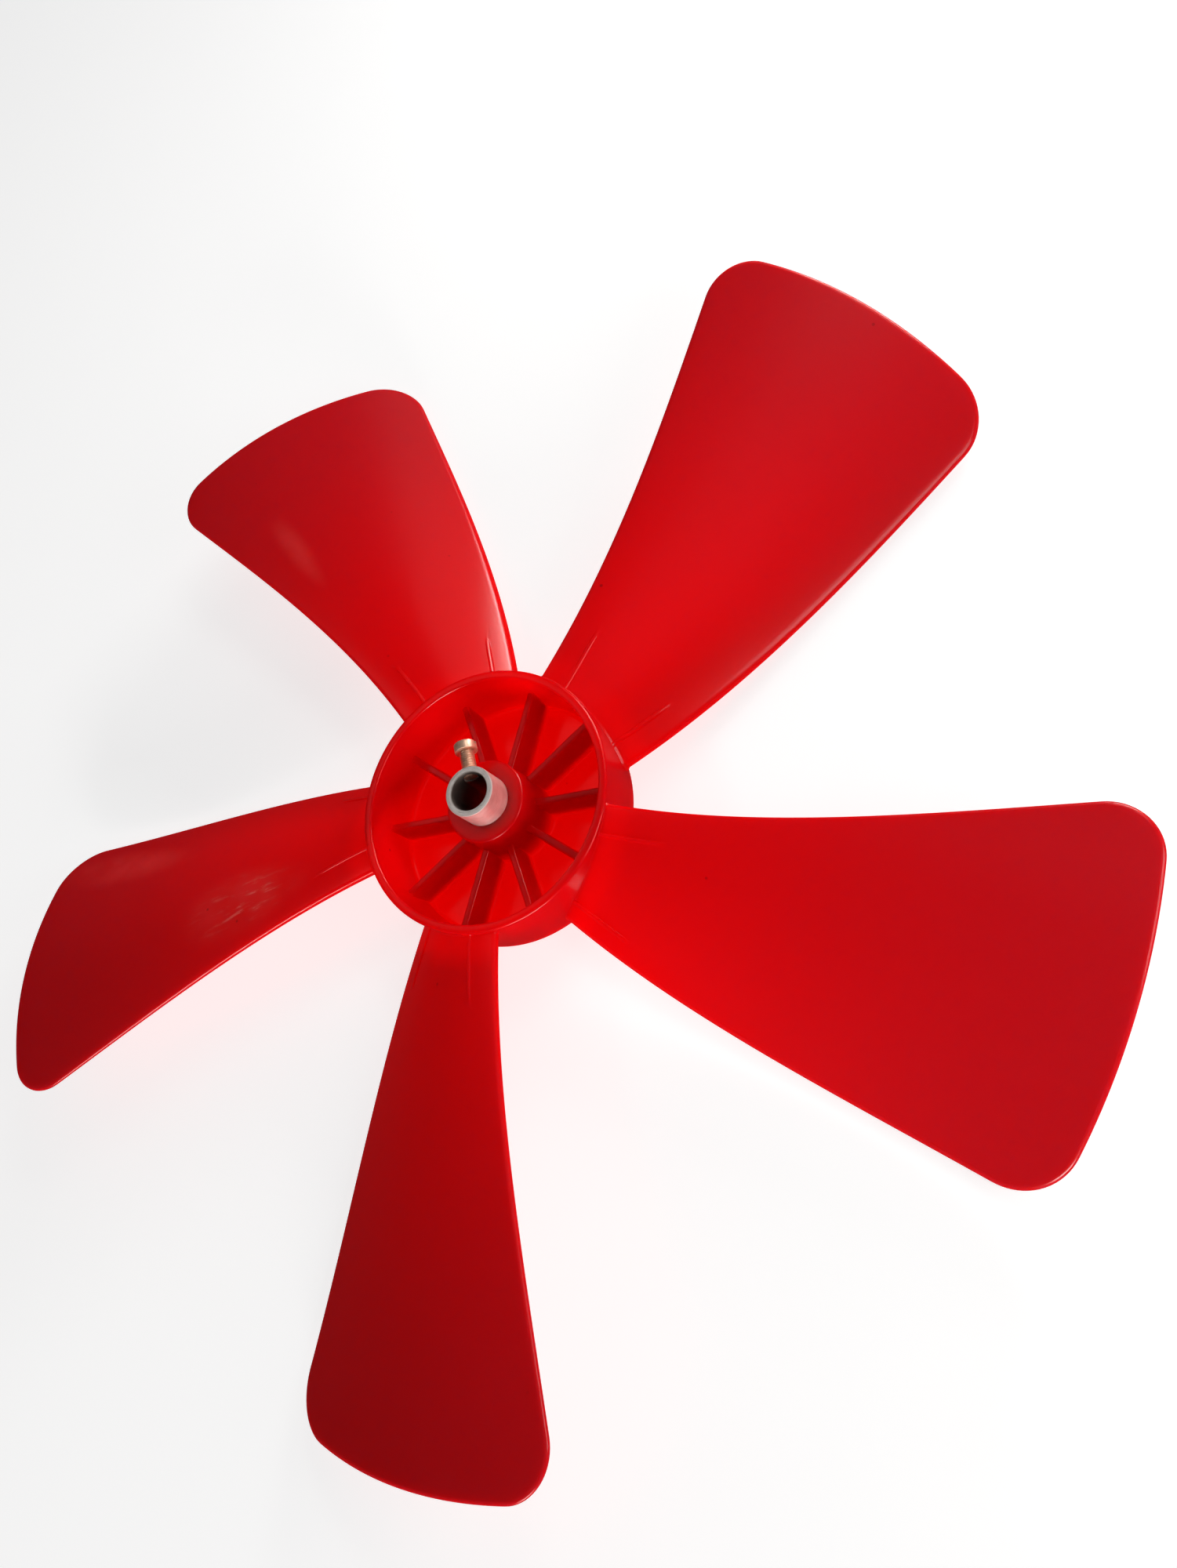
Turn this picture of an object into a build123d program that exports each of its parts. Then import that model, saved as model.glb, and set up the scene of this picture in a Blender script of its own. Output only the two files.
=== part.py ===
"""Five-bladed plastic fan with a ribbed hub cup, a steel shaft sleeve and a brass clamping screw.

Millimetres. The shaft axis is Z, with the motor side up. The fan lies on the flat front of its hub, and the
origin is the middle of that front. The root of the first blade is centred on +X.
"""
from build123d import *
import os
from math import atan2, cos, degrees, hypot, radians, sin, tan

# Hub cup, open towards the motor
HUB_RADIUS = 44.5
HUB_DEPTH = 28.0
HUB_DRAFT = 0.8
HUB_WALL = 3.0
FRONT_WALL = 4.0
FRONT_EDGE_RADIUS = 6.0
RIM_CHAMFER = 0.8

# Boss in the middle of the cup, and the ribs that brace it
BOSS_RADIUS = 14.0
BOSS_DRAFT = 0.6
BOSS_BELOW_RIM = 3.0
RIBS_PER_BLADE = 2
RIB_THICKNESS = 2.4
RIB_BELOW_RIM = 12.0

# Blades: width in plan, depth of the chord's middle below the rim, and angles in degrees
BLADE_COUNT = 5
TIP_RADIUS = 200.0
ROOT_WIDTH = 38.5
MIDDLE_WIDTH = 71.5
TIP_WIDTH = 106.5
ROOT_PITCH_ANGLE = 23.0
MIDDLE_PITCH_ANGLE = 19.7
TIP_PITCH_ANGLE = 15.4
MIDDLE_SWEEP_ANGLE = 6.8
TIP_SWEEP_ANGLE = 10.5
ROOT_BELOW_RIM = 10.8
MIDDLE_BELOW_RIM = 12.4
TIP_BELOW_RIM = 9.3
ROOT_CAMBER = 4.0
TIP_CAMBER = 6.7
ROOT_THICKNESS = 3.0
TIP_THICKNESS = 2.0
LOW_CORNER_RADIUS = 17.0
HIGH_CORNER_RADIUS = 14.0
EDGE_CHAMFER = 0.6

# Two short ridges on the rear face of each blade, from the hub outwards
RIDGE_END_RADIUS = 66.0
RIDGE_WIDTH = 1.5
RIDGE_HEIGHT = 0.5
RIDGE_FROM_LOW_EDGE = 6.5
RIDGE_FROM_HIGH_EDGE = 10.0

# Steel sleeve in the boss
SLEEVE_RADIUS = 8.5
BORE_RADIUS = 6.35
SLEEVE_ABOVE_RIM = 7.3
SLEEVE_FLOOR = 5.0
SLEEVE_CHAMFER = 0.5

# Brass screw across the sleeve
SCREW_RADIUS = 2.5
SCREW_CLEARANCE = 0.05
SCREW_BELOW_SLEEVE_END = 4.1
SCREW_ANGLE = 138.0
SCREW_TIP_CLEARANCE = 0.25
SCREW_TIP_CHAMFER = 0.5
SCREW_EXPOSED_LENGTH = 7.2
HEAD_RADIUS = 3.75
HEAD_HEIGHT = 3.0
HEAD_CHAMFER = 0.4
SLOT_WIDTH = 1.2
SLOT_DEPTH = 1.3

# Points on which the blade's faces and edges are drawn, and how far the faces overrun its outline
SPAN_STEPS = 8
CHORD_STEPS = 8
OVERRUN = 0.12

RIB_COUNT = RIBS_PER_BLADE * BLADE_COUNT
BOSS_TOP = HUB_DEPTH - BOSS_BELOW_RIM
RIB_TOP = HUB_DEPTH - RIB_BELOW_RIM
SLEEVE_END = HUB_DEPTH + SLEEVE_ABOVE_RIM
SLEEVE_LENGTH = SLEEVE_END - SLEEVE_FLOOR
SCREW_HEIGHT = SLEEVE_END - SCREW_BELOW_SLEEVE_END
BLADE_ROOT_RADIUS = HUB_RADIUS - HUB_WALL / 2
REACH = 2 * HUB_DEPTH
UPRIGHT = (Align.CENTER, Align.CENTER, Align.MIN)


def hub_radius_at(height):
    """Outer radius of the drafted cup wall at a height over the front."""
    return HUB_RADIUS - HUB_DRAFT * (1 - height / HUB_DEPTH)


def steps(first, last, count):
    """Evenly spaced values, both ends included."""
    return [first + i / count * (last - first) for i in range(count + 1)]


def around(shape, count):
    """Copies of a shape, evenly turned about the shaft axis."""
    return [Rot(0, 0, 360 / count * i) * shape for i in range(count)]


def along(root, middle, tip, span):
    """Smooth value at a share of the blade's span, through its root, middle and tip values."""
    at_root = root * (1 - span) * (1 - 2 * span)
    at_middle = middle * 4 * span * (1 - span)
    at_tip = tip * span * (2 * span - 1)
    return at_root + at_middle + at_tip


def span_at(radius):
    """Share of the blade's span at a distance from the shaft axis."""
    return (radius - HUB_RADIUS) / (TIP_RADIUS - HUB_RADIUS)


def width_at(span):
    """Width of the blade in plan."""
    return along(ROOT_WIDTH, MIDDLE_WIDTH, TIP_WIDTH, span)


def blade_point(span, chord, side=0):
    """Point on the blade. Chord is 0 on its low edge and 1 on its high edge, side is -1 on its front face."""
    radius = HUB_RADIUS + span * (TIP_RADIUS - HUB_RADIUS)
    width = width_at(span)
    pitch = radians(along(ROOT_PITCH_ANGLE, MIDDLE_PITCH_ANGLE, TIP_PITCH_ANGLE, span))
    sweep = radians(along(0, MIDDLE_SWEEP_ANGLE, TIP_SWEEP_ANGLE, span))
    depth = along(ROOT_BELOW_RIM, MIDDLE_BELOW_RIM, TIP_BELOW_RIM, span)
    camber = ROOT_CAMBER + span * (TIP_CAMBER - ROOT_CAMBER)
    thickness = ROOT_THICKNESS + span * (TIP_THICKNESS - ROOT_THICKNESS)
    angle = sweep + (chord - 0.5) * width / radius
    rise = (chord - 0.5) * width * tan(pitch)
    bulge = 4 * camber * chord * (1 - chord)
    offset = side * thickness / cos(pitch) / 2
    return (radius * cos(angle), radius * sin(angle), HUB_DEPTH - depth + rise + bulge + offset)


def blade_face(side, overrun):
    """Curved face on one side of the blade, larger than its outline all round."""
    spans = steps(span_at(BLADE_ROOT_RADIUS) - overrun, 1 + overrun, SPAN_STEPS)
    chords = steps(-overrun, 1 + overrun, CHORD_STEPS)
    rows = [[blade_point(span, chord, side) for chord in chords] for span in spans]
    return Face.make_surface_from_array_of_points(rows)


def blade_outline():
    """Plan of the blade, with its two tip corners rounded."""
    spans = steps(span_at(BLADE_ROOT_RADIUS), 1, SPAN_STEPS)
    low = Spline(*[blade_point(span, 0)[:2] for span in spans])
    high = Spline(*[blade_point(span, 1)[:2] for span in spans])
    tip = ThreePointArc(low @ 1, blade_point(1, 0.5)[:2], high @ 1)
    root = ThreePointArc(high @ 0, blade_point(spans[0], 0.5)[:2], low @ 0)
    plan = make_face([low, tip, high, root])
    plan = fillet(nearest_corner(plan, low @ 1), LOW_CORNER_RADIUS)
    return fillet(nearest_corner(plan, high @ 1), HIGH_CORNER_RADIUS)


def nearest_corner(sketch, point):
    """The corner of a sketch that is nearest to a point."""
    return sketch.vertices().sort_by_distance(point)[0]


def between_faces(plan, raised=0):
    """Upright prism over a plan, cut to the blade's two faces, with its rear face raised by a height."""
    above_front = Solid.extrude(blade_face(-1, OVERRUN), Vector(0, 0, REACH))
    above_rear = Solid.extrude(blade_face(1, 2 * OVERRUN), Vector(0, 0, 2 * REACH))
    prism = extrude(Pos(0, 0, -REACH) * plan, 3 * REACH)
    return prism & (above_front - Pos(0, 0, raised) * above_rear)


def ridge(chord_at):
    """Short ridge on the blade's rear face, rooted in the hub. chord_at gives its chord at a span."""
    root_span = span_at(BLADE_ROOT_RADIUS)
    end_span = span_at(RIDGE_END_RADIUS)
    root_x, root_y, _ = blade_point(root_span, chord_at(root_span))
    end_x, end_y, _ = blade_point(end_span, chord_at(end_span))
    length = hypot(end_x - root_x, end_y - root_y)
    heading = degrees(atan2(end_y - root_y, end_x - root_x))
    strip = Rectangle(length, RIDGE_WIDTH, align=(Align.MIN, Align.CENTER))
    return between_faces(Pos(root_x, root_y) * Rot(0, 0, heading) * strip, RIDGE_HEIGHT)


def blade():
    """One blade, rooted inside the cup's wall, with its edges broken and its two ridges."""
    plate = between_faces(blade_outline())

    def is_outer(edge):
        middle = edge @ 0.5
        runs_round = edge.geom_type != GeomType.LINE
        return runs_round and hypot(middle.X, middle.Y) > HUB_RADIUS + HUB_WALL

    plate = chamfer(plate.edges().filter_by(is_outer), EDGE_CHAMFER)
    low_ridge = ridge(lambda span: RIDGE_FROM_LOW_EDGE / width_at(span))
    high_ridge = ridge(lambda span: 1 - RIDGE_FROM_HIGH_EDGE / width_at(span))
    return plate + low_ridge + high_ridge


def hub():
    """Revolved cup with its boss, and the ribs between them."""
    inner_floor = hub_radius_at(FRONT_WALL) - HUB_WALL
    front_corner = (hub_radius_at(0), 0)
    outer_rim_corner = (HUB_RADIUS, HUB_DEPTH)
    inner_rim_corner = (HUB_RADIUS - HUB_WALL, HUB_DEPTH)
    boss_corner = (BOSS_RADIUS, BOSS_TOP)
    profile = make_face(Polyline(
        (0, 0),
        front_corner,
        outer_rim_corner,
        inner_rim_corner,
        (inner_floor, FRONT_WALL),
        (BOSS_RADIUS + BOSS_DRAFT, FRONT_WALL),
        boss_corner,
        (SLEEVE_RADIUS, BOSS_TOP),
        (SLEEVE_RADIUS, SLEEVE_FLOOR),
        (0, SLEEVE_FLOOR),
        close=True,
    ))
    profile = fillet(nearest_corner(profile, front_corner), FRONT_EDGE_RADIUS)
    sharp_corners = (outer_rim_corner, inner_rim_corner, boss_corner)
    profile = chamfer([nearest_corner(profile, corner) for corner in sharp_corners], RIM_CHAMFER)
    cup = revolve(Plane.XZ * profile, Axis.Z)

    rib_inner = (SLEEVE_RADIUS + BOSS_RADIUS) / 2
    rib_outer = inner_floor + HUB_WALL / 2
    rib_base = FRONT_WALL / 2
    rib_size = (rib_outer - rib_inner, RIB_THICKNESS, RIB_TOP - rib_base)
    rib = Pos(rib_inner, 0, rib_base) * Box(*rib_size, align=(Align.MIN, Align.CENTER, Align.MIN))
    return cup + around(rib, RIB_COUNT)


def impeller():
    """Hub and blades in one moulding."""
    return hub() + around(blade(), BLADE_COUNT)


def across_sleeve(shape):
    """Turns a shape that is drawn up Z from the shaft axis into the screw's place."""
    return Pos(0, 0, SCREW_HEIGHT) * Rot(0, 0, SCREW_ANGLE) * Rot(0, 90, 0) * shape


def shaft_sleeve():
    """Plain tube with a broken edge at its mouth and one cross hole for the screw."""
    tube = Cylinder(SLEEVE_RADIUS, SLEEVE_LENGTH, align=UPRIGHT)
    tube -= Cylinder(BORE_RADIUS, SLEEVE_LENGTH, align=UPRIGHT)
    tube = chamfer(tube.edges().group_by(Axis.Z)[-1], SLEEVE_CHAMFER)
    cross_hole = Cylinder(SCREW_RADIUS + SCREW_CLEARANCE, 2 * SLEEVE_RADIUS, align=UPRIGHT)
    return Pos(0, 0, SLEEVE_FLOOR) * tube - across_sleeve(cross_hole)


def set_screw():
    """Slotted cheese-head screw, backed out far enough to leave the bore free."""
    tip = BORE_RADIUS + SCREW_TIP_CLEARANCE
    head_base = SLEEVE_RADIUS + SCREW_EXPOSED_LENGTH
    slot_floor = head_base + HEAD_HEIGHT - SLOT_DEPTH
    shank = Pos(0, 0, tip) * Cylinder(SCREW_RADIUS, head_base - tip, align=UPRIGHT)
    shank = chamfer(shank.edges().group_by(Axis.Z)[0], SCREW_TIP_CHAMFER)
    head = Pos(0, 0, head_base) * Cylinder(HEAD_RADIUS, HEAD_HEIGHT, align=UPRIGHT)
    head = chamfer(head.edges().group_by(Axis.Z)[-1], HEAD_CHAMFER)
    slot = Pos(0, 0, slot_floor) * Box(SLOT_WIDTH, 3 * HEAD_RADIUS, HEAD_HEIGHT, align=UPRIGHT)
    return across_sleeve(shank + head - slot)


os.makedirs("parts", exist_ok=True)
export_step(impeller(), "parts/impeller.step")
export_step(shaft_sleeve(), "parts/shaft_sleeve.step")
export_step(set_screw(), "parts/set_screw.step")
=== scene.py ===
"""Looks of the five-bladed fan: a glossy red moulding, a turned steel sleeve and a backed-out brass screw.

Lengths are millimetres until a mesh is made. Lights, and the depths of bumps and of glow, are in metres.
The frame is the CAD model's: the shaft axis is Z, with the motor side up, and the root of the first blade is
centred on +X.
"""
from math import acos, atan2, cos, pi, radians, sin, tan
import bmesh
import bpy
import numpy as np
from mathutils import Matrix, Vector


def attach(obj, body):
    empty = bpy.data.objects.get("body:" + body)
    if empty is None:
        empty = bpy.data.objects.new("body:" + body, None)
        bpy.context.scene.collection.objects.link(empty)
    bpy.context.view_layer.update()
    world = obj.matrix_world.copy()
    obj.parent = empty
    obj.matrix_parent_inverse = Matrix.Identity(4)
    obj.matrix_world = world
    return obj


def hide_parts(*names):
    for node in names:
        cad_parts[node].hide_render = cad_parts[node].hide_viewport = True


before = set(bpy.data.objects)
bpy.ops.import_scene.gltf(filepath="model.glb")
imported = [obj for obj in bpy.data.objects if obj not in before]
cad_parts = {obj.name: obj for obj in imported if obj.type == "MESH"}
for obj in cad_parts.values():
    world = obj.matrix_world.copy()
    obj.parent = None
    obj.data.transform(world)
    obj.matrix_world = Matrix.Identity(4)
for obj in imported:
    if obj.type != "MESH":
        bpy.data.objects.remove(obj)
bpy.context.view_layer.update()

MM = 0.001

# Hub cup, its boss and ribs
HUB_RADIUS = 44.5
HUB_DEPTH = 28.0
HUB_DRAFT = 0.8
HUB_WALL = 3.0
FRONT_WALL = 4.0
FRONT_EDGE_RADIUS = 6.0
RIM_EDGE_RADIUS = 0.8
FLOOR_FILLET = 1.6
BOSS_RADIUS = 14.0
BOSS_DRAFT = 0.6
BOSS_TOP = 25.0
SOCKET_EDGE_RADIUS = 0.3
RIB_COUNT = 10
RIB_THICKNESS = 2.4
RIB_TOP = 16.0
RIB_EDGE_RADIUS = 0.6
RIB_FILLET = 1.4
RIB_FOOT_RADIUS = 0.7 * RIB_FILLET
RIB_FOOT_DROP = 0.05
HUB_SEGMENTS = 240

# Blades. Triples hold the values at the root, the middle and the tip, and angles are in degrees.
BLADE_COUNT = 5
TIP_RADIUS = 200.0
WIDTHS = (38.5, 71.5, 106.5)
PITCHES = (23.0, 19.7, 15.4)
SWEEPS = (0.0, 6.8, 10.5)
DEPTHS = (10.8, 12.4, 9.3)
ROOT_CAMBER = 4.0
TIP_CAMBER = 6.7
ROOT_THICKNESS = 3.0
TIP_THICKNESS = 2.0
LOW_CORNER_RADIUS = 17.0
HIGH_CORNER_RADIUS = 14.0
ROOT_SINK = 1.5
ROOT_FLARE = 1.0
FLARE_SINK = 0.5 * ROOT_FLARE
FLARE_STOP = 0.2 * ROOT_FLARE
ROOT_ROWS = 14
ROOT_ROWS_START = HUB_RADIUS - 0.8
ROOT_ROWS_END = HUB_RADIUS + 3 * ROOT_FLARE
SPAN_ROWS = 48
CORNER_ROWS = 18
CHORD_COLUMNS = 44
CHORD_EASE = 0.15
RIM_STEPS = 8
LOW_SIDE, HIGH_SIDE = -1, 1

# Two short ridges on the rear face of each blade
RIDGE_END_RADIUS = 66.0
RIDGE_TAPER = 7.0
RIDGE_WIDTH = 1.5
RIDGE_HEIGHT = 0.5
RIDGE_SKIRT = 0.2
RIDGE_SINK = 0.8
RIDGE_FROM_LOW_EDGE = 6.5
RIDGE_FROM_HIGH_EDGE = 10.0
RIDGE_ROWS = 40
RIDGE_STEPS = 12

# Sleeve and screw
SLEEVE_RADIUS = 8.5
BORE_RADIUS = 6.35
SLEEVE_FLOOR = 5.0
SLEEVE_END = 35.3
SLEEVE_CHAMFER = 0.5
CHAMFER_MIDDLE = 0.3 * SLEEVE_CHAMFER
SCREW_RADIUS = 2.5
SCREW_CLEARANCE = 0.05
SCREW_HEIGHT = 31.2
SCREW_ANGLE = 138.0
SCREW_TIP = 6.6
SCREW_TIP_CHAMFER = 0.5
HEAD_BASE = 15.7
HEAD_RADIUS = 3.75
HEAD_HEIGHT = 3.0
HEAD_END = HEAD_BASE + HEAD_HEIGHT
HEAD_EDGE_RADIUS = 0.45
HEAD_FOOT_RADIUS = HEAD_EDGE_RADIUS / 3
SHANK_END = HEAD_BASE + HEAD_HEIGHT / 3
SLOT_WIDTH = 1.2
SLOT_DEPTH = 1.3
THREAD_PITCH = 0.8
THREAD_DEPTH = 0.43
THREAD_STEEPNESS = 1.25
THREAD_ROWS_PER_TURN = 10
TURNED_SEGMENTS = 96
SHANK_SEGMENTS = TURNED_SEGMENTS // 2

# Mesh making. The weld distance is in metres, and creases are in degrees.
ARC_STEPS = 6
ON_AXIS = 1e-6
WELD_DISTANCE = 1e-7
CORNER_HALVINGS = 50
EDGE_STEP = 0.1
MOULDED_CREASE = 32
SLEEVE_CREASE = 30
SCREW_CREASE = 40

# Worn places and pale patches on the rear face, the patches being painted sheen on the blades with wear haze
# round the scuffs: distance from the shaft axis, angle in degrees, half length outwards and half width in
# degrees
SCUFFS = [(98.0, -131.8, 26.0, 8.0)]
SHEEN_AND_WEAR_PATCHES = [(98.0, -131.8, 34.0, 9.0), (164.0, -146.0, 42.0, 3.4), (137.0, 161.0, 26.0, 2.4)]
PATCH_CORE = 0.1

# Red plastic: linear colours, how far light travels in the hub and in the blades, and where the two meet. The
# colours hold painted light: painted glow makes the hub and the blade roots brighter, painted shade makes the
# tips deeper, a painted bluish sheen tints the tips, and the pale patches are painted sheen with wear haze
# round the scuffs.
PAINTED_GLOW_ROOT_RED = (0.92, 0.0006, 0.003, 1)
PAINTED_SHADE_AND_SHEEN_TIP_RED = (0.50, 0.0085, 0.017, 1)
PAINTED_GLOW_HUB_RED = (0.98, 0.0006, 0.003, 1)
CLOUD_RED = (0.50, 0.0008, 0.004, 1)
SHEEN_AND_WEAR_PALE_RED = (1.00, 0.14, 0.13, 1)
SCUFF_RED = (0.90, 0.36, 0.30, 1)
SPECK_RED = (0.12, 0.001, 0.002, 1)
RED_MARGIN = 20.0
HUB_GLOW = 0.035
BLADE_GLOW = 0.007
GLOW_FADE = 12.0
GLOW_COLOURS = (1.0, 0.05, 0.03)

# Metals and floor, linear colours
STEEL_DARK = (0.84, 0.76, 0.71, 1)
STEEL_PALE = (0.97, 0.89, 0.84, 1)
STEEL_STAIN = (0.52, 0.40, 0.33, 1)
# Painted shade inside the sleeve's bore
BORE_PAINTED_SHADE = (0.10, 0.06, 0.045, 1)
BRASS_CLEAN = (1.00, 0.64, 0.46, 1)
BRASS_TARNISHED = (0.46, 0.22, 0.12, 1)
FLOOR_DARK = (0.49, 0.49, 0.49, 1)
FLOOR_PALE = (0.51, 0.51, 0.51, 1)
FLOOR_GLOW = 0.75

# Stage
STAGE_RADIUS = 4000.0
STAGE_HEIGHT = 5000.0
FLOOR_GAP = 0.1

# Lights as seen from the aim point: azimuth and elevation in degrees, distance and size in metres, watts and
# colour
SOFTBOXES = {
    "key": (310.0, 10.0, 2.0, (0.9, 0.4), 25.0, (1.0, 0.98, 0.96)),
    "window": (93.0, 14.0, 0.65, (0.30, 0.12), 2.1, (1.0, 0.98, 0.95)),
    "lamp": (88.0, 46.0, 0.65, (0.30, 0.12), 0.45, (1.0, 0.96, 0.93)),
    "near": (18.0, 24.0, 0.40, (0.2, 0.2), 0.44, (1.0, 0.97, 0.95)),
    "overhead": (60.0, 82.0, 1.2, (0.7, 0.7), 0.15, (0.62, 0.80, 1.0)),
    "card": (180.0, 53.0, 1.0, (0.35, 0.22), 0.08, (1.0, 0.97, 0.95)),
    "sheen": (110.0, 30.0, 0.65, (0.36, 0.24), 0.10, (1.0, 0.97, 0.95)),
}
HUB_LIGHT_PLACE = (205.0, 40.0, 0.5)
HUB_LIGHT_POWER = 3.2
HUB_LIGHT_CONE = 15.0
HUB_LIGHT_BLEND = 1.0
HUB_LIGHT_SIZE = 0.08
SKY_COLOUR = (0.92, 0.95, 1.0, 1)
SKY_STRENGTH = 0.03

# Camera, aimed at a point on the plane of the hub's rim. Its clip distance is in metres.
AIM = (15.49, 15.05, 28.0)
CAMERA_AZIMUTH = -4.71
CAMERA_ELEVATION = 56.86
CAMERA_DISTANCE = 409.3
CAMERA_ROLL = 54.97
SENSOR_WIDTH = 36.0
LENS = 29.773
SHIFT_X = 0.03152
SHIFT_Y = -0.00403
CLIP_START = 0.01


# Meshes

def put_in_scene(name, data):
    """Object in the scene that holds a mesh, a light or a camera."""
    item = bpy.data.objects.new(name, data)
    bpy.context.scene.collection.objects.link(item)
    return item


def add_object(name, points, faces):
    """Mesh object from points in millimetres."""
    mesh = bpy.data.meshes.new(name)
    mesh.from_pydata([tuple(MM * float(value) for value in point) for point in points], [], faces)
    mesh.validate()
    return put_in_scene(name, mesh)


def shade(item, angle):
    """Smooth shading, with edges sharper than an angle kept crisp."""
    item.data.polygons.foreach_set("use_smooth", [True] * len(item.data.polygons))
    item.data.set_sharp_from_angle(angle=radians(angle))


def combined(name, body, others, operation):
    """One closed mesh from a body and the pieces that are joined to it or cut from it."""
    tools = bpy.data.collections.new(name + "_tools")
    for item in others:
        tools.objects.link(item)
    change = body.modifiers.new("combine", "BOOLEAN")
    change.operation = operation
    change.operand_type = "COLLECTION"
    change.collection = tools
    change.solver = "EXACT"
    bpy.context.view_layer.update()
    seen = body.evaluated_get(bpy.context.evaluated_depsgraph_get())
    mesh = bpy.data.meshes.new_from_object(seen)
    for item in [body, *others]:
        bpy.data.objects.remove(item)
    bpy.data.collections.remove(tools)
    work = bmesh.new()
    work.from_mesh(mesh)
    bmesh.ops.remove_doubles(work, verts=work.verts, dist=WELD_DISTANCE)
    work.to_mesh(mesh)
    work.free()
    mesh.name = name
    return put_in_scene(name, mesh)


def around(radius, angle, height):
    """Point from its distance to the shaft axis, its angle round it and its height."""
    return (radius * cos(angle), radius * sin(angle), height)


def rounded_profile(corners):
    """Outline through corners (x, y, radius), with each corner that has a radius drawn as an arc."""
    outline = []
    for index, (x, y, radius) in enumerate(corners):
        here = Vector((x, y))
        if not radius:
            outline.append(tuple(here))
            continue
        before = (Vector(corners[index - 1][:2]) - here).normalized()
        after = (Vector(corners[(index + 1) % len(corners)][:2]) - here).normalized()
        half = before.angle(after) / 2
        centre = here + (before + after).normalized() * radius / sin(half)
        start = here + before * radius / tan(half) - centre
        turn = start.angle_signed(here + after * radius / tan(half) - centre)
        for step in range(ARC_STEPS + 1):
            spoke = Matrix.Rotation(-turn * step / ARC_STEPS, 2) @ start
            outline.append(tuple(centre + spoke))
    return outline


def revolved(name, profile, segments, closed=False):
    """Surface turned about Z from (radius, height) points. A closed profile is joined end to start."""
    points = []
    rings = []
    for radius, height in profile:
        if radius < ON_AXIS:
            rings.append([len(points)] * segments)
            points.append((0, 0, height))
            continue
        rings.append(list(range(len(points), len(points) + segments)))
        points += [around(radius, 2 * pi * index / segments, height) for index in range(segments)]
    faces = []
    following = rings[1:] + rings[:1] if closed else rings[1:]
    for lower, upper in zip(rings, following):
        for index in range(segments):
            after = (index + 1) % segments
            corners = (lower[index], lower[after], upper[after], upper[index])
            faces.append(tuple(dict.fromkeys(corners)))
    return add_object(name, points, faces)


# Blade form

def along(values, span):
    """Smooth value at a share of the blade's span, through its root, middle and tip values."""
    root, middle, tip = values
    return root * (1 - span) * (1 - 2 * span) + middle * 4 * span * (1 - span) + tip * span * (2 * span - 1)


def span_at(radius):
    """Share of the blade's span at a distance from the shaft axis."""
    return (radius - HUB_RADIUS) / (TIP_RADIUS - HUB_RADIUS)


def hub_radius_at(height):
    """Outer radius of the drafted cup wall."""
    return HUB_RADIUS - HUB_DRAFT * (1 - height / HUB_DEPTH)


def middle_height(radius, angle):
    """Height of the blade's middle surface over the hub's front."""
    span = span_at(radius)
    width = along(WIDTHS, span)
    chord = 0.5 + (angle - radians(along(SWEEPS, span))) * radius / width
    camber = ROOT_CAMBER + span * (TIP_CAMBER - ROOT_CAMBER)
    rise = (chord - 0.5) * width * tan(radians(along(PITCHES, span)))
    return HUB_DEPTH - along(DEPTHS, span) + rise + 4 * camber * chord * (1 - chord)


def root_flare(radius):
    """Extra thickness where the blade runs into the hub in a small fillet."""
    away = max(radius - HUB_RADIUS + FLARE_SINK, FLARE_STOP)
    if away >= ROOT_FLARE:
        return 0.0
    return ROOT_FLARE - (ROOT_FLARE ** 2 - (ROOT_FLARE - away) ** 2) ** 0.5


def half_thickness(radius):
    """Half of the blade's thickness, measured upright."""
    span = span_at(radius)
    thickness = ROOT_THICKNESS + span * (TIP_THICKNESS - ROOT_THICKNESS)
    return thickness / cos(radians(along(PITCHES, span))) / 2 + root_flare(radius)


def edge_angle(radius, side, inset=0.0):
    """Angle of the low or high edge, moved into the blade by an inset."""
    span = span_at(radius)
    half_width = along(WIDTHS, span) / 2 - inset + root_flare(radius)
    return radians(along(SWEEPS, span)) + side * half_width / radius


def polar(radius, angle):
    """Point in the plan."""
    return Vector((radius * cos(angle), radius * sin(angle)))


def tip_corner(side, radius):
    """Centre of the arc that rounds a tip corner, and the direction from it to where it leaves the edge."""
    low, high = TIP_RADIUS - 3 * radius, TIP_RADIUS
    for _ in range(CORNER_HALVINGS):
        touch = (low + high) / 2
        point = polar(touch, edge_angle(touch, side))
        ahead = polar(touch + EDGE_STEP, edge_angle(touch + EDGE_STEP, side)) - point
        inward = Vector((side * ahead.y, -side * ahead.x)).normalized()
        centre = point + inward * radius
        if centre.length < TIP_RADIUS - radius:
            low = touch
        else:
            high = touch
    return centre, -inward


CORNERS = {
    LOW_SIDE: (LOW_CORNER_RADIUS, *tip_corner(LOW_SIDE, LOW_CORNER_RADIUS)),
    HIGH_SIDE: (HIGH_CORNER_RADIUS, *tip_corner(HIGH_SIDE, HIGH_CORNER_RADIUS)),
}


def outline_angle(radius, side, inset):
    """Angle of the blade's outline on one side, with its rounded corner, moved in by an inset."""
    corner_radius, centre, outward = CORNERS[side]
    arc_radius = corner_radius - inset
    if radius <= (centre + outward * arc_radius).length:
        return edge_angle(radius, side, inset)
    reach = centre.length
    cosine = (radius ** 2 + reach ** 2 - arc_radius ** 2) / (2 * radius * reach)
    return atan2(centre.y, centre.x) + side * acos(min(cosine, 1))


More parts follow.
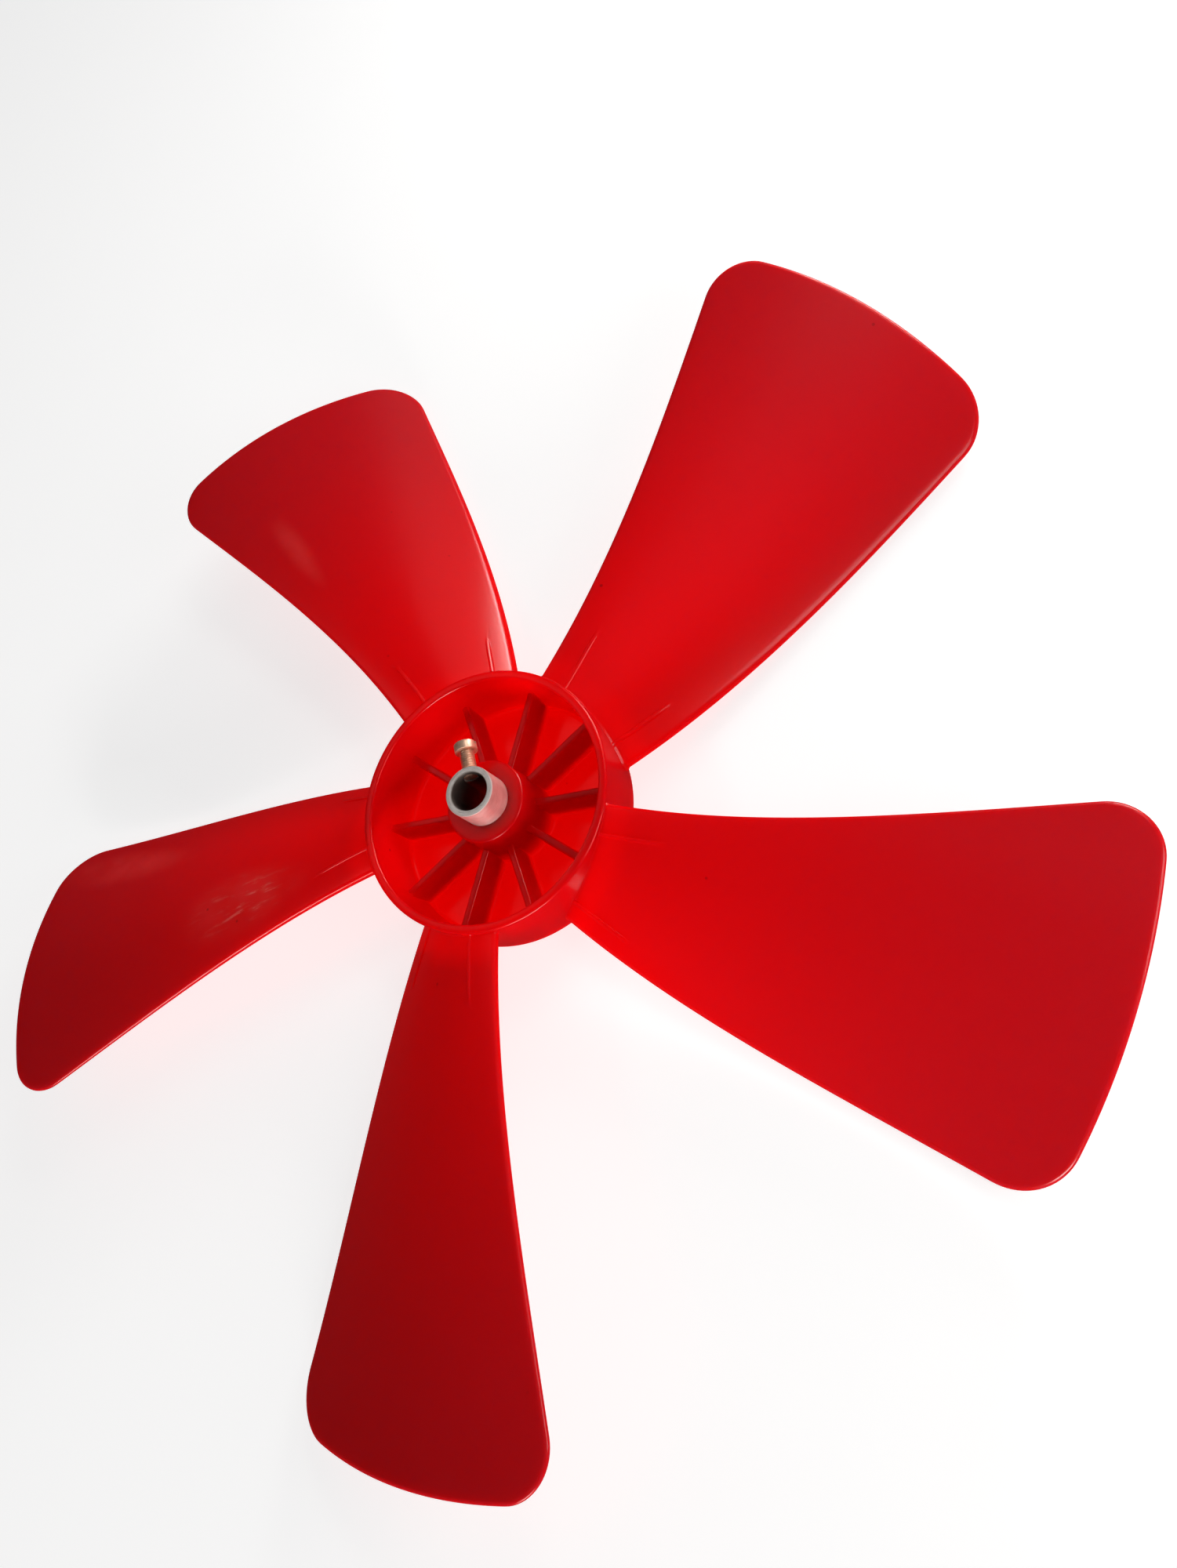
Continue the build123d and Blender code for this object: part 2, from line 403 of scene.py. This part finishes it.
def blade_rows(inset):
    """Distances from the axis of the blade's rows, closer together at the root and round the tip corners."""
    starts = [(centre + outward * (radius - inset)).length for radius, centre, outward in CORNERS.values()]
    corner_start = min(starts)
    rows = [HUB_RADIUS - ROOT_SINK]
    rows += list(np.linspace(ROOT_ROWS_START, ROOT_ROWS_END, ROOT_ROWS))
    rows += list(np.linspace(ROOT_ROWS_END, corner_start, SPAN_ROWS + 1)[1:])
    turns = np.linspace(0, pi / 2, CORNER_ROWS + 1)[1:]
    rows += [corner_start + (TIP_RADIUS - inset - corner_start) * sin(turn) for turn in turns]
    return rows


def chord_shares():
    """Shares of the chord at the blade's columns, a little closer together at both edges."""
    shares = []
    for column in range(CHORD_COLUMNS + 1):
        eased = CHORD_EASE + (1 - 2 * CHORD_EASE) * column / CHORD_COLUMNS
        shares.append(0.5 - 0.5 * cos(pi * eased))
    return [(share - shares[0]) / (shares[-1] - shares[0]) for share in shares]


def blade(index):
    """Closed mesh of one blade: two cambered faces joined by a half-round edge, its root inside the hub."""
    turn = 2 * pi * index / BLADE_COUNT
    inset = (ROOT_THICKNESS + TIP_THICKNESS) / 4
    shares = chord_shares()
    plan = []
    for radius in blade_rows(inset):
        low = outline_angle(radius, LOW_SIDE, inset)
        high = outline_angle(radius, HIGH_SIDE, inset)
        plan.append([(radius, low + (high - low) * share) for share in shares])
    points = []

    def put(radius, angle, height):
        points.append(around(radius, angle + turn, height))
        return len(points) - 1

    rear = [[put(r, a, middle_height(r, a) + half_thickness(r)) for r, a in row] for row in plan]
    front = [[put(r, a, middle_height(r, a) - half_thickness(r)) for r, a in row] for row in plan]

    last_row, last_column = len(plan) - 1, CHORD_COLUMNS
    border = [(row, 0) for row in range(last_row)]
    border += [(last_row, column) for column in range(last_column)]
    border += [(row, last_column) for row in range(last_row, -1, -1)]
    spots = [polar(*plan[row][column]) for row, column in border]
    rings = []
    for number, (row, column) in enumerate(border):
        ahead = spots[min(number + 1, len(spots) - 1)] - spots[max(number - 1, 0)]
        outward = Vector((ahead.y, -ahead.x)).normalized()
        ring = [rear[row][column]]
        for step in range(1, RIM_STEPS):
            tilt = pi / 2 - pi * step / RIM_STEPS
            spot = spots[number] + outward * inset * cos(tilt)
            radius, angle = spot.length, atan2(spot.y, spot.x)
            ring.append(put(radius, angle, middle_height(radius, angle) + half_thickness(radius) * sin(tilt)))
        rings.append(ring + [front[row][column]])

    faces = []
    for row in range(last_row):
        for column in range(last_column):
            corners = [(row, column), (row + 1, column), (row + 1, column + 1), (row, column + 1)]
            faces.append(tuple(rear[r][c] for r, c in corners))
            faces.append(tuple(front[r][c] for r, c in reversed(corners)))
    for ring, after in zip(rings, rings[1:]):
        for step in range(RIM_STEPS):
            faces.append((ring[step], ring[step + 1], after[step + 1], after[step]))
    for column in range(last_column):
        faces.append((rear[0][column], rear[0][column + 1], front[0][column + 1], front[0][column]))
    faces.append(tuple(reversed(rings[0])))
    faces.append(tuple(rings[-1]))
    return add_object("blade", points, faces)


def ridge(index, side, from_edge):
    """Low rounded ridge along a blade's rear face, rooted in the hub and fading out."""
    turn = 2 * pi * index / BLADE_COUNT
    points, rings = [], []
    for radius in np.linspace(HUB_RADIUS - ROOT_SINK, RIDGE_END_RADIUS, RIDGE_ROWS):
        past = max((radius - RIDGE_END_RADIUS + RIDGE_TAPER) / RIDGE_TAPER, 0)
        height = RIDGE_HEIGHT * (1 - past ** 2)
        angle = edge_angle(radius, side) - side * from_edge / radius
        ring = []
        for step in range(RIDGE_STEPS + 1):
            turned = pi * step / RIDGE_STEPS
            across = angle - RIDGE_WIDTH / 2 * cos(turned) / radius
            rear = middle_height(radius, across) + half_thickness(radius)
            ring.append((across, rear + (height + RIDGE_SKIRT) * sin(turned) - RIDGE_SKIRT))
        ring += [(across, level - RIDGE_SINK) for across, level in (ring[-1], ring[0])]
        rings.append(list(range(len(points), len(points) + len(ring))))
        points += [around(radius, across + turn, level) for across, level in ring]
    faces = []
    for ring, after in zip(rings, rings[1:]):
        for step in range(len(ring)):
            following = (step + 1) % len(ring)
            faces.append((ring[step], after[step], after[following], ring[following]))
    faces.append(tuple(rings[0]))
    faces.append(tuple(reversed(rings[-1])))
    return add_object("ridge", points, faces)


# Pieces

def hub_cup():
    """Revolved cup with its boss and the socket for the sleeve."""
    inner_floor = hub_radius_at(FRONT_WALL) - HUB_WALL
    profile = rounded_profile([
        (0, 0, 0),
        (hub_radius_at(0), 0, FRONT_EDGE_RADIUS),
        (HUB_RADIUS, HUB_DEPTH, RIM_EDGE_RADIUS),
        (HUB_RADIUS - HUB_WALL, HUB_DEPTH, RIM_EDGE_RADIUS),
        (inner_floor, FRONT_WALL, FLOOR_FILLET),
        (BOSS_RADIUS + BOSS_DRAFT, FRONT_WALL, FLOOR_FILLET),
        (BOSS_RADIUS, BOSS_TOP, RIM_EDGE_RADIUS),
        (SLEEVE_RADIUS, BOSS_TOP, SOCKET_EDGE_RADIUS),
        (SLEEVE_RADIUS, SLEEVE_FLOOR, 0),
        (0, SLEEVE_FLOOR, 0),
    ])
    return revolved("cup", profile, HUB_SEGMENTS)


def rib(index):
    """Brace between the boss and the cup's wall, with a rounded top and a filleted foot."""
    inner = (SLEEVE_RADIUS + BOSS_RADIUS) / 2
    outer = hub_radius_at(FRONT_WALL) - HUB_WALL / 2
    half = RIB_THICKNESS / 2
    foot = half + RIB_FILLET
    section = rounded_profile([
        (-foot, FRONT_WALL / 2, 0),
        (foot, FRONT_WALL / 2, 0),
        (foot, FRONT_WALL - RIB_FOOT_DROP, 0),
        (half, FRONT_WALL, RIB_FOOT_RADIUS),
        (half, RIB_TOP, RIB_EDGE_RADIUS),
        (-half, RIB_TOP, RIB_EDGE_RADIUS),
        (-half, FRONT_WALL, RIB_FOOT_RADIUS),
        (-foot, FRONT_WALL - RIB_FOOT_DROP, 0),
    ])
    turn = 2 * pi * index / RIB_COUNT
    points = []
    for radius in (inner, outer):
        for across, height in section:
            spot = Matrix.Rotation(turn, 2) @ Vector((radius, across))
            points.append((spot.x, spot.y, height))
    count = len(section)
    faces = []
    for step in range(count):
        after = (step + 1) % count
        faces.append((count + step, count + after, after, step))
    faces.append(tuple(range(count)))
    faces.append(tuple(reversed(range(count, 2 * count))))
    return add_object("rib", points, faces)


def impeller():
    """Hub, ribs, blades and ridges in one moulding."""
    joined = [rib(index) for index in range(RIB_COUNT)]
    for index in range(BLADE_COUNT):
        joined.append(blade(index))
        joined.append(ridge(index, LOW_SIDE, RIDGE_FROM_LOW_EDGE))
        joined.append(ridge(index, HIGH_SIDE, RIDGE_FROM_HIGH_EDGE))
    return combined("red_impeller", hub_cup(), joined, "UNION")


def across_sleeve(item):
    """Turns a piece that is drawn up Z from the shaft axis into the screw's place."""
    turn = Matrix.Rotation(radians(SCREW_ANGLE), 4, "Z") @ Matrix.Rotation(pi / 2, 4, "Y")
    item.data.transform(Matrix.Translation((0, 0, MM * SCREW_HEIGHT)) @ turn)
    return item


def sleeve():
    """Turned tube with broken edges at its mouth, and the cross hole for the screw."""
    outer, inner = SLEEVE_RADIUS, BORE_RADIUS
    tube = revolved("tube", [
        (inner, SLEEVE_FLOOR),
        (outer, SLEEVE_FLOOR),
        (outer, SLEEVE_END - SLEEVE_CHAMFER),
        (outer - CHAMFER_MIDDLE, SLEEVE_END - CHAMFER_MIDDLE),
        (outer - SLEEVE_CHAMFER, SLEEVE_END),
        (inner + SLEEVE_CHAMFER, SLEEVE_END),
        (inner + CHAMFER_MIDDLE, SLEEVE_END - CHAMFER_MIDDLE),
        (inner, SLEEVE_END - SLEEVE_CHAMFER),
    ], TURNED_SEGMENTS, closed=True)
    reach = SCREW_RADIUS + SCREW_CLEARANCE
    hole = revolved("hole", [(0, 0), (reach, 0), (reach, 2 * outer), (0, 2 * outer)], TURNED_SEGMENTS)
    return combined("steel_sleeve", tube, [across_sleeve(hole)], "DIFFERENCE")


def thread_depth(height, angle):
    """How far the cut thread lies inside the screw's outer radius, with a plain chamfer at the tip."""
    phase = (height / THREAD_PITCH - angle / (2 * pi)) % 1
    groove = min(abs(2 * phase - 1) * THREAD_STEEPNESS, 1)
    run_out = min(max((height - SCREW_TIP) / SCREW_TIP_CHAMFER, 0), 1)
    return THREAD_DEPTH * groove * run_out + SCREW_TIP_CHAMFER * (1 - run_out)


def threaded_shank():
    """Closed mesh of the screw's shank, from its tip up into the head."""
    count = round((SHANK_END - SCREW_TIP) / THREAD_PITCH * THREAD_ROWS_PER_TURN)
    points = [(0, 0, SCREW_TIP)]
    for row in range(count + 1):
        height = SCREW_TIP + (SHANK_END - SCREW_TIP) * row / count
        for index in range(SHANK_SEGMENTS):
            angle = 2 * pi * index / SHANK_SEGMENTS
            points.append(around(SCREW_RADIUS - thread_depth(height, angle), angle, height))
    points.append((0, 0, SHANK_END))
    faces = []
    for index in range(SHANK_SEGMENTS):
        after = (index + 1) % SHANK_SEGMENTS
        faces.append((0, 1 + after, 1 + index))
        for row in range(count):
            low, high = 1 + row * SHANK_SEGMENTS, 1 + (row + 1) * SHANK_SEGMENTS
            faces.append((low + index, low + after, high + after, high + index))
        last = 1 + count * SHANK_SEGMENTS
        faces.append((last + index, last + after, len(points) - 1))
    return add_object("shank", points, faces)


def head_slot():
    """Block that cuts the slot in the screw's head."""
    half, reach = SLOT_WIDTH / 2, 2 * HEAD_RADIUS
    heights = (HEAD_END - SLOT_DEPTH, HEAD_END + SLOT_DEPTH)
    corners = [(x, y, z) for x in (-half, half) for y in (-reach, reach) for z in heights]
    sides = [(0, 1, 3, 2), (4, 6, 7, 5), (0, 4, 5, 1), (2, 3, 7, 6), (0, 2, 6, 4), (1, 5, 7, 3)]
    return add_object("slot", corners, sides)


def screw():
    """Slotted cheese-head screw with a cut thread."""
    shank = threaded_shank()
    head = revolved("head", rounded_profile([
        (0, HEAD_BASE, 0),
        (HEAD_RADIUS, HEAD_BASE, HEAD_FOOT_RADIUS),
        (HEAD_RADIUS, HEAD_END, HEAD_EDGE_RADIUS),
        (0, HEAD_END, 0),
    ]), TURNED_SEGMENTS)
    whole = combined("plain_screw", head, [shank], "UNION")
    return across_sleeve(combined("brass_screw", whole, [head_slot()], "DIFFERENCE"))


# Materials

class Nodes:
    """Short-hand for a material's node tree."""

    def __init__(self, name):
        self.material = bpy.data.materials.new(name)
        self.material.use_nodes = True
        self.tree = self.material.node_tree
        self.shader = self.tree.nodes["Principled BSDF"]
        self.place = self.add("ShaderNodeTexCoord").outputs["Object"]

    def add(self, kind, links=None, **settings):
        """New node. Settings are its properties, links are inputs by name or number: a value or a socket."""
        node = self.tree.nodes.new(kind)
        for key, value in settings.items():
            setattr(node, key, value)
        for key, value in (links or {}).items():
            self.feed(node.inputs[key], value)
        return node

    def feed(self, socket, value):
        """Links a socket to an input, or sets the input's value."""
        if isinstance(value, bpy.types.NodeSocket):
            self.tree.links.new(value, socket)
        else:
            socket.default_value = value

    def set(self, **inputs):
        """Feeds the shader's inputs, named with underscores for spaces."""
        for key, value in inputs.items():
            self.feed(self.shader.inputs[key.replace("_", " ")], value)

    def math(self, operation, first, second):
        return self.add("ShaderNodeMath", {0: first, 1: second}, operation=operation).outputs[0]

    def vector(self, operation, first, second):
        return self.add("ShaderNodeVectorMath", {0: first, 1: second}, operation=operation).outputs[0]

    def length(self, vector):
        return self.add("ShaderNodeVectorMath", {0: vector}, operation="LENGTH").outputs["Value"]

    def noise(self, vector, scale, detail=3.0, roughness=0.5):
        links = {"Vector": vector, "Scale": scale, "Detail": detail, "Roughness": roughness}
        return self.add("ShaderNodeTexNoise", links).outputs["Fac"]

    def spread(self, value, low, high, to_low=0.0, to_high=1.0):
        """Value moved from one range to another, easing in and out."""
        links = {"Value": value, "From Min": low, "From Max": high, "To Min": to_low, "To Max": to_high}
        return self.add("ShaderNodeMapRange", links, interpolation_type="SMOOTHSTEP").outputs["Result"]

    def mix(self, share, first, second):
        """Colour between two colours."""
        node = self.add("ShaderNodeMix", data_type="RGBA")
        self.feed(node.inputs["Factor"], share)
        self.feed(node.inputs["A"], first)
        self.feed(node.inputs["B"], second)
        return node.outputs["Result"]

    def tint(self, base, colour, mask, strength):
        """Base colour with another colour laid over it where a mask says, at most as strong as given."""
        return self.mix(self.math("MULTIPLY", mask, strength), base, colour)

    def bump(self, height, strength, distance, normal=None):
        links = {"Height": height, "Strength": strength, "Distance": distance}
        if normal:
            links["Normal"] = normal
        return self.add("ShaderNodeBump", links).outputs["Normal"]

    def outwards(self):
        """Distance from the shaft axis."""
        return self.length(self.vector("MULTIPLY", self.place, (1, 1, 0)))

    def polar(self, radial_scale=1.0, angular_scale=1.0, upright_scale=0.0):
        """Coordinates that run outwards, round the shaft axis and along it."""
        parts = self.add("ShaderNodeSeparateXYZ", {0: self.place}).outputs
        angle = self.math("ARCTAN2", parts["Y"], parts["X"])
        return self.add("ShaderNodeCombineXYZ", {
            "X": self.math("MULTIPLY", self.outwards(), radial_scale),
            "Y": self.math("MULTIPLY", angle, angular_scale),
            "Z": self.math("MULTIPLY", parts["Z"], upright_scale),
        }).outputs[0]

    def patches(self, places):
        """Soft oval patches, each about a distance from the shaft axis and an angle round it."""
        total = 0.0
        for radius, angle, length, width in places:
            offset = self.vector("SUBTRACT", self.polar(), (MM * radius, radians(angle), 0))
            away = self.length(self.vector("DIVIDE", offset, (MM * length, radians(width), 1)))
            total = self.math("ADD", self.spread(away, PATCH_CORE, 1.0, to_low=1.0, to_high=0.0), total)
        return total


def red_plastic():
    """Translucent glossy red, clouded, worn and specked, with painted glow that makes it bright in the hub,
    painted shade and a painted bluish sheen that make it deeper at the tips, and pale patches of painted
    sheen.
    """
    n = Nodes("red_plastic")
    painted_glow_to_shade_share = n.spread(n.outwards(), MM * (HUB_RADIUS - RED_MARGIN), MM * (TIP_RADIUS + RED_MARGIN))
    cloud = n.spread(n.noise(n.place, scale=14.0, detail=1.5), 0.2, 0.8)
    streaks = n.noise(n.polar(radial_scale=95.0, angular_scale=42.0), scale=1.0, detail=3.0, roughness=0.6)
    scuffs = n.math("MULTIPLY", n.spread(streaks, 0.50, 0.74), n.patches(SCUFFS))
    blotches = n.spread(n.noise(n.place, scale=70.0, detail=2.0), 0.25, 0.65, to_low=0.3)
    sheen_and_wear_haze = n.math("MULTIPLY", blotches, n.patches(SHEEN_AND_WEAR_PATCHES))
    cells = n.add("ShaderNodeTexVoronoi", {"Vector": n.place, "Scale": 110.0}).outputs["Distance"]
    dots = n.spread(cells, 0.03, 0.08, to_low=1.0, to_high=0.0)
    sparse = n.spread(n.noise(n.place, scale=45.0, detail=1.0), 0.60, 0.68)
    specks = n.math("MULTIPLY", dots, sparse)

    glow = n.spread(n.outwards(), MM * HUB_RADIUS, MM * (HUB_RADIUS + GLOW_FADE), HUB_GLOW, BLADE_GLOW)
    # Painted glow and shade: a brighter red at the roots fading to a deeper red with a painted bluish sheen
    # at the tips.
    base = n.mix(painted_glow_to_shade_share, PAINTED_GLOW_ROOT_RED, PAINTED_SHADE_AND_SHEEN_TIP_RED)
    # Painted glow: the hub is painted a brighter red than the blades, as if lit through.
    base = n.mix(n.spread(glow, BLADE_GLOW, HUB_GLOW), base, PAINTED_GLOW_HUB_RED)
    base = n.tint(base, CLOUD_RED, cloud, strength=0.12)
    # Painted sheen: pale pinkish-white patches at listed places on the blades, with wear haze round the
    # scuffs.
    base = n.tint(base, SHEEN_AND_WEAR_PALE_RED, sheen_and_wear_haze, strength=0.22)
    base = n.tint(base, SCUFF_RED, scuffs, strength=0.45)
    base = n.tint(base, SPECK_RED, specks, strength=0.5)
    smooth = n.spread(cloud, 0.0, 1.0, to_low=0.19, to_high=0.23)
    roughness = n.math("ADD", smooth, n.math("MULTIPLY", scuffs, 0.15))
    waves = n.bump(n.noise(n.place, scale=22.0, detail=1.0), strength=0.06, distance=0.002)
    skin = n.bump(n.noise(n.place, scale=850.0, detail=2.0), strength=0.03, distance=0.0003, normal=waves)
    n.set(Base_Color=base, Roughness=roughness, Normal=skin, IOR=1.49, Specular_IOR_Level=0.35)
    n.set(Subsurface_Weight=0.9, Subsurface_Scale=glow, Subsurface_Radius=GLOW_COLOURS)
    return n.material


def turned_steel():
    """Pale steel with fine turning marks and warm stains, paler on its end, with painted shade darkening its
    bore.
    """
    n = Nodes("turned_steel")
    rings = n.polar(radial_scale=2600.0, angular_scale=1.2, upright_scale=2600.0)
    marks = n.noise(rings, scale=1.0, detail=3.0, roughness=0.7)
    stain = n.spread(n.noise(n.place, scale=260.0, detail=4.0), 0.42, 0.68)
    mouth = MM * (BORE_RADIUS + SLEEVE_CHAMFER)
    bore = n.spread(n.outwards(), MM * BORE_RADIUS, mouth, to_low=1.0, to_high=0.0)
    base = n.mix(n.spread(marks, 0.3, 0.7), STEEL_DARK, STEEL_PALE)
    base = n.tint(base, STEEL_STAIN, stain, strength=0.25)
    # Painted shade: the bore is darkened as if shaded inside.
    base = n.tint(base, BORE_PAINTED_SHADE, bore, strength=0.9)
    height = n.add("ShaderNodeSeparateXYZ", {0: n.place}).outputs["Z"]
    faced = n.spread(height, MM * (SLEEVE_END - SLEEVE_CHAMFER), MM * (SLEEVE_END - SLEEVE_CHAMFER / 2))
    barrel = n.spread(marks, 0.3, 0.7, to_low=0.46, to_high=0.54)
    roughness = n.math("SUBTRACT", barrel, n.math("MULTIPLY", faced, 0.20))
    metallic = n.spread(faced, 0.0, 1.0, to_low=0.9, to_high=0.3)
    relief = n.bump(marks, strength=0.25, distance=0.00005)
    n.set(Base_Color=base, Metallic=metallic, Roughness=roughness, Normal=relief)
    return n.material


def dull_brass():
    """Slightly tarnished brass."""
    n = Nodes("dull_brass")
    tarnish = n.spread(n.noise(n.place, scale=520.0, detail=4.0), 0.40, 0.70)
    base = n.tint(BRASS_CLEAN, BRASS_TARNISHED, tarnish, strength=0.35)
    roughness = n.spread(tarnish, 0.0, 1.0, to_low=0.38, to_high=0.55)
    relief = n.bump(n.noise(n.place, scale=3000.0), strength=0.15, distance=0.00003)
    n.set(Base_Color=base, Metallic=0.7, Roughness=roughness, Normal=relief)
    return n.material


def pale_floor():
    """Matt grey that glows, so that it shows nearly white and still takes a soft shadow."""
    n = Nodes("pale_floor")
    grain = n.noise(n.place, scale=40.0, detail=2.0)
    n.set(Base_Color=n.mix(grain, FLOOR_DARK, FLOOR_PALE), Roughness=0.9, Specular_IOR_Level=0.0)
    n.set(Emission_Color=(1, 1, 1, 1), Emission_Strength=FLOOR_GLOW)
    return n.material


# Stage

def add_floor():
    """Flat floor, a hair under the hub's front so that the two never share a plane."""
    reach, level = STAGE_RADIUS, -FLOOR_GAP
    corners = [(-reach, -reach, level), (reach, -reach, level), (reach, reach, level), (-reach, reach, level)]
    floor = add_object("floor", corners, [(0, 1, 2, 3)])
    floor.data.materials.append(pale_floor())
    floor.visible_glossy = False


def add_backdrop():
    """Pale wall round the floor for low views. It neither lights the fan nor shades it."""
    wall = revolved("backdrop", [(STAGE_RADIUS, -FLOOR_GAP), (STAGE_RADIUS, STAGE_HEIGHT)], HUB_SEGMENTS)
    wall.data.materials.append(pale_floor())
    wall.visible_diffuse = False
    wall.visible_glossy = False
    wall.visible_transmission = False
    wall.visible_shadow = False


def from_angles(azimuth, elevation, distance):
    """Place seen from the aim point, in metres."""
    direction = Vector((
        cos(radians(elevation)) * cos(radians(azimuth)),
        cos(radians(elevation)) * sin(radians(azimuth)),
        sin(radians(elevation)),
    ))
    return MM * Vector(AIM) + distance * direction


def add_lamp(name, light, place, target):
    """Puts a light in its place, facing a target and out of the camera's sight."""
    item = put_in_scene(name, light)
    item.location = place
    item.rotation_euler = (target - item.location).to_track_quat("-Z", "Y").to_euler()
    item.visible_camera = False
    return item


def add_softboxes():
    """Rectangular area lights that face the fan."""
    for name, (azimuth, elevation, distance, size, power, colour) in SOFTBOXES.items():
        light = bpy.data.lights.new(name, "AREA")
        light.shape = "RECTANGLE"
        light.size, light.size_y = size
        light.energy = power
        light.color = colour
        add_lamp(name, light, from_angles(azimuth, elevation, distance), MM * Vector(AIM))


def add_hub_light():
    """Soft narrow light on the hub that leaves no glare."""
    light = bpy.data.lights.new("hub_light", "SPOT")
    light.energy = HUB_LIGHT_POWER
    light.spot_size = radians(HUB_LIGHT_CONE)
    light.spot_blend = HUB_LIGHT_BLEND
    light.shadow_soft_size = HUB_LIGHT_SIZE
    item = add_lamp("hub_light", light, from_angles(*HUB_LIGHT_PLACE), Vector((0, 0, MM * HUB_DEPTH)))
    item.visible_glossy = False


def add_sky():
    """Faint even light from all round."""
    world = bpy.data.worlds.new("studio")
    bpy.context.scene.world = world
    world.use_nodes = True
    background = world.node_tree.nodes["Background"]
    background.inputs["Color"].default_value = SKY_COLOUR
    background.inputs["Strength"].default_value = SKY_STRENGTH


def add_camera():
    """Camera at the photograph's angle, turned about its own line of sight."""
    place = from_angles(CAMERA_AZIMUTH, CAMERA_ELEVATION, MM * CAMERA_DISTANCE)
    forward = (MM * Vector(AIM) - place).normalized()
    level_right = forward.cross(Vector((0, 0, 1))).normalized()
    level_up = level_right.cross(forward)
    roll = radians(CAMERA_ROLL)
    up = cos(roll) * level_up + sin(roll) * level_right
    right = forward.cross(up)
    data = bpy.data.cameras.new("camera")
    data.sensor_width = SENSOR_WIDTH
    data.lens = LENS
    data.shift_x, data.shift_y = SHIFT_X, SHIFT_Y
    data.clip_start = CLIP_START
    camera = put_in_scene("camera", data)
    camera.matrix_world = Matrix.Translation(place) @ Matrix((right, up, -forward)).transposed().to_4x4()
    bpy.context.scene.camera = camera


def dress(piece, node, material, crease):
    """Gives a piece its finish and puts it in the place of its CAD node."""
    shade(piece, crease)
    piece.data.materials.clear()
    piece.data.materials.append(material)
    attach(piece, "root")
    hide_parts(node)


dress(impeller(), "impeller", red_plastic(), MOULDED_CREASE)
dress(sleeve(), "shaft_sleeve", turned_steel(), SLEEVE_CREASE)
dress(screw(), "set_screw", dull_brass(), SCREW_CREASE)
add_floor()
add_backdrop()
add_softboxes()
add_hub_light()
add_sky()
add_camera()
bpy.context.scene.view_settings.view_transform = "Standard"
bpy.context.scene.cycles.use_denoising = True
